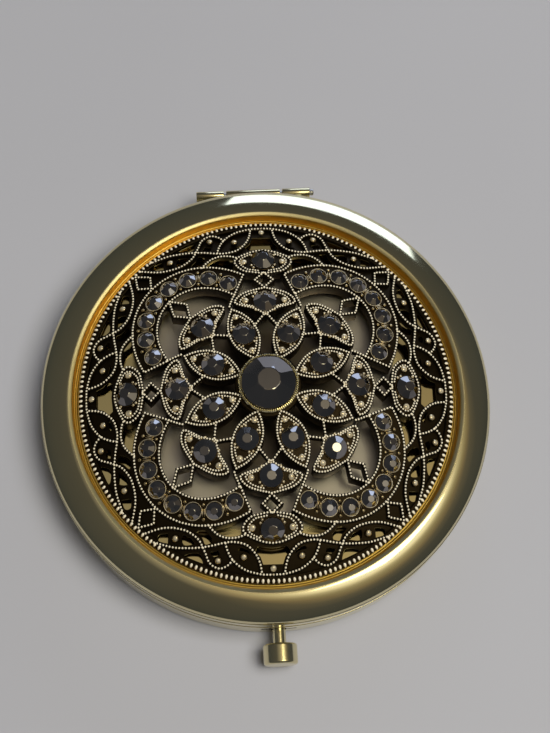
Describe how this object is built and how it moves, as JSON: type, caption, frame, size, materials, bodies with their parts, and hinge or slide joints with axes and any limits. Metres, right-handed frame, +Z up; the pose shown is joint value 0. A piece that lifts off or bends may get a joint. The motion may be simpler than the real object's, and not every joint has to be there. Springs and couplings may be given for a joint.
{
  "type": "compact mirror",
  "caption": "Round hinged pocket mirror case with a domed pierced filigree lid set with faceted dark stones, a push-button latch and mirrors inside lid and base.",
  "frame": {"origin": "centre of the flat face that the closed case rests on", "axes": "+X to the right, +Y from the button to the hinge, +Z up through the lid"},
  "size_m": [0.0702, 0.0774, 0.02],
  "materials": {
    "polished_gold": "polished, pale gold plate",
    "antique_brass": "antiqued, bright bead tops",
    "steel": "plain",
    "mirror_glass": "mirror",
    "foam": "matt",
    "stone": "faceted, polished dark grey"
  },
  "bodies": {
    "base": {"base_shell": "polished_gold", "base_pad": "foam", "base_mirror": "mirror_glass", "base_mirror_ring": "polished_gold", "hinge_leaf_base": "polished_gold", "hinge_pin": "steel", "latch_cage": "steel", "latch_spring": "steel"},
    "button": {"push_button": "polished_gold", "latch_slider": "steel"},
    "lid": {"lid_shell": "polished_gold", "lid_pad": "foam", "lid_mirror": "mirror_glass", "lid_mirror_ring": "polished_gold", "hinge_leaf_lid": "polished_gold", "lid_catch": "steel", "filigree_medallion": "antique_brass", "centre_setting": "polished_gold", "centre_stone": "stone", "inner_petal_stone_1": "stone", "inner_petal_stone_2": "stone", "inner_petal_stone_3": "stone", "inner_petal_stone_4": "stone", "inner_petal_stone_5": "stone", "inner_petal_stone_6": "stone", "inner_petal_stone_7": "stone", "inner_petal_stone_8": "stone", "outer_petal_stone_1": "stone", "outer_petal_stone_2": "stone", "outer_petal_stone_3": "stone", "outer_petal_stone_4": "stone", "outer_petal_stone_5": "stone", "outer_petal_stone_6": "stone", "outer_petal_stone_7": "stone", "outer_petal_stone_8": "stone", "cusp_stone_1": "stone", "cusp_stone_2": "stone", "cusp_stone_3": "stone", "cusp_stone_4": "stone"}
  },
  "joints": [
    {"name": "lid_hinge", "type": "hinge", "parent": "base", "child": "lid", "pos_m": [0, 0.03605, 0.00545], "axis": [-1, 0, 0], "range_deg": [0, 165]},
    {"name": "button_push", "type": "slide", "parent": "base", "child": "button", "axis": [0, 1, 0], "range_m": [0, 0.001], "stiffness_N_per_m": 400, "springref_m": -0.0015, "deforming": ["latch_spring"]}
  ]
}
